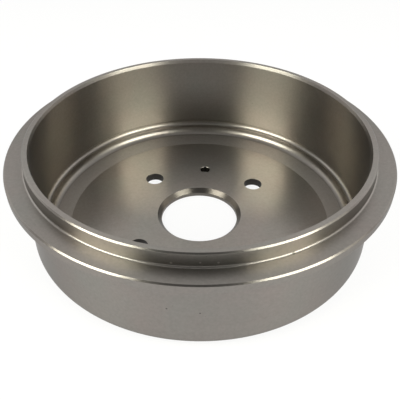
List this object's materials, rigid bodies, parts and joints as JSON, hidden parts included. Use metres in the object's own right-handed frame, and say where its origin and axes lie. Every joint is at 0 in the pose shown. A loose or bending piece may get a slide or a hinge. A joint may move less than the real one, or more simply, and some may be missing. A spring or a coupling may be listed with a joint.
{
  "type": "brake drum",
  "caption": "Turned cast-iron brake drum: friction bore with run-out groove, dished flat web with centre bore, wheel stud holes and jacking holes, flanged open end with a lip.",
  "frame": {"origin": "centre of the web's outer face, where the wheel seats", "axes": "+Z along the axis of rotation, from the wheel face to the open end; +X between two wheel stud holes, at 45 degrees to both; the jacking holes lie on the Y axis"},
  "size_m": [0.231, 0.231, 0.0692],
  "materials": {
    "machined_cast_iron": "turned and ground grey iron, bare, with fine concentric tool marks"
  },
  "bodies": {
    "root": {"brake_drum": "machined_cast_iron"}
  },
  "joints": []
}
